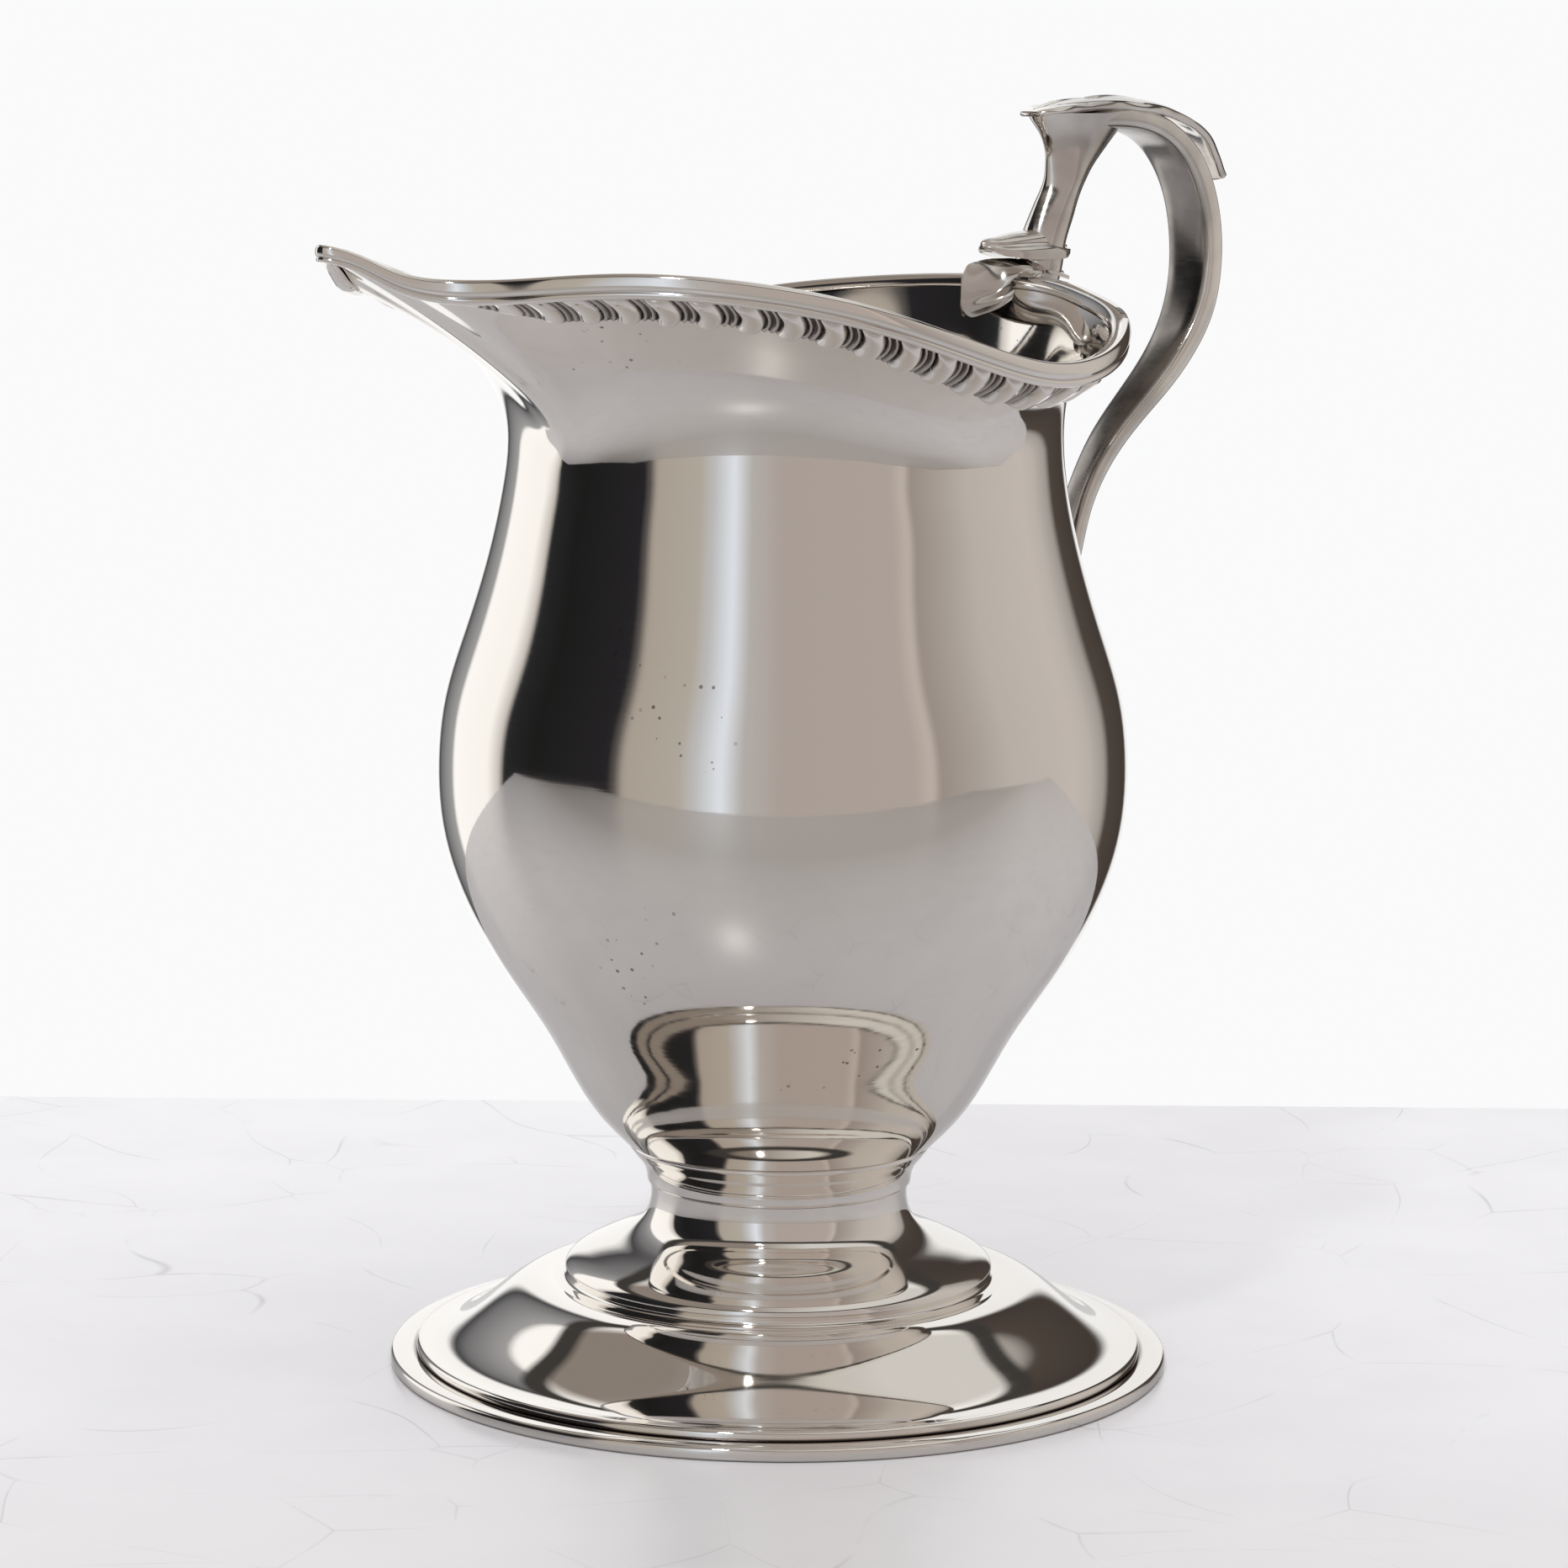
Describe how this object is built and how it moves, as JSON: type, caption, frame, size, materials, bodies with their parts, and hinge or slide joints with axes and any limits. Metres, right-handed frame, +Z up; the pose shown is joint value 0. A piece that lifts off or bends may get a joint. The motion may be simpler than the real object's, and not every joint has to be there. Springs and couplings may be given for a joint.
{
  "type": "cream jug",
  "caption": "Silver cream jug with a rounded bowl, pulled spout, gadrooned rim, spun foot and a loop handle capped by a leaf.",
  "frame": {"origin": "on the bowl's axis, at the underside of the foot", "axes": "+Z up, +X towards the handle, -X towards the spout"},
  "size_m": [0.1006, 0.069, 0.1116],
  "materials": {
    "bowl_silver": "mirror-polished sterling silver with fine hairline scratches",
    "trim_silver": "polished sterling silver, tarnished brown in the grooves",
    "foot_silver": "polished sterling silver, slightly tarnished",
    "handle_silver": "polished cast sterling silver, duller inside the loop"
  },
  "bodies": {
    "root": {"body": "bowl_silver", "rim_moulding": "trim_silver", "gadroon_border_near": "trim_silver", "gadroon_border_far": "trim_silver", "foot_collar": "foot_silver", "foot_stem": "foot_silver", "foot_dome": "foot_silver", "foot_plate": "foot_silver", "rim_tongue": "handle_silver", "handle_knuckle": "handle_silver", "handle_stem": "handle_silver", "handle_strap": "handle_silver", "leaf_cap": "handle_silver", "handle_pad": "handle_silver"}
  },
  "joints": []
}
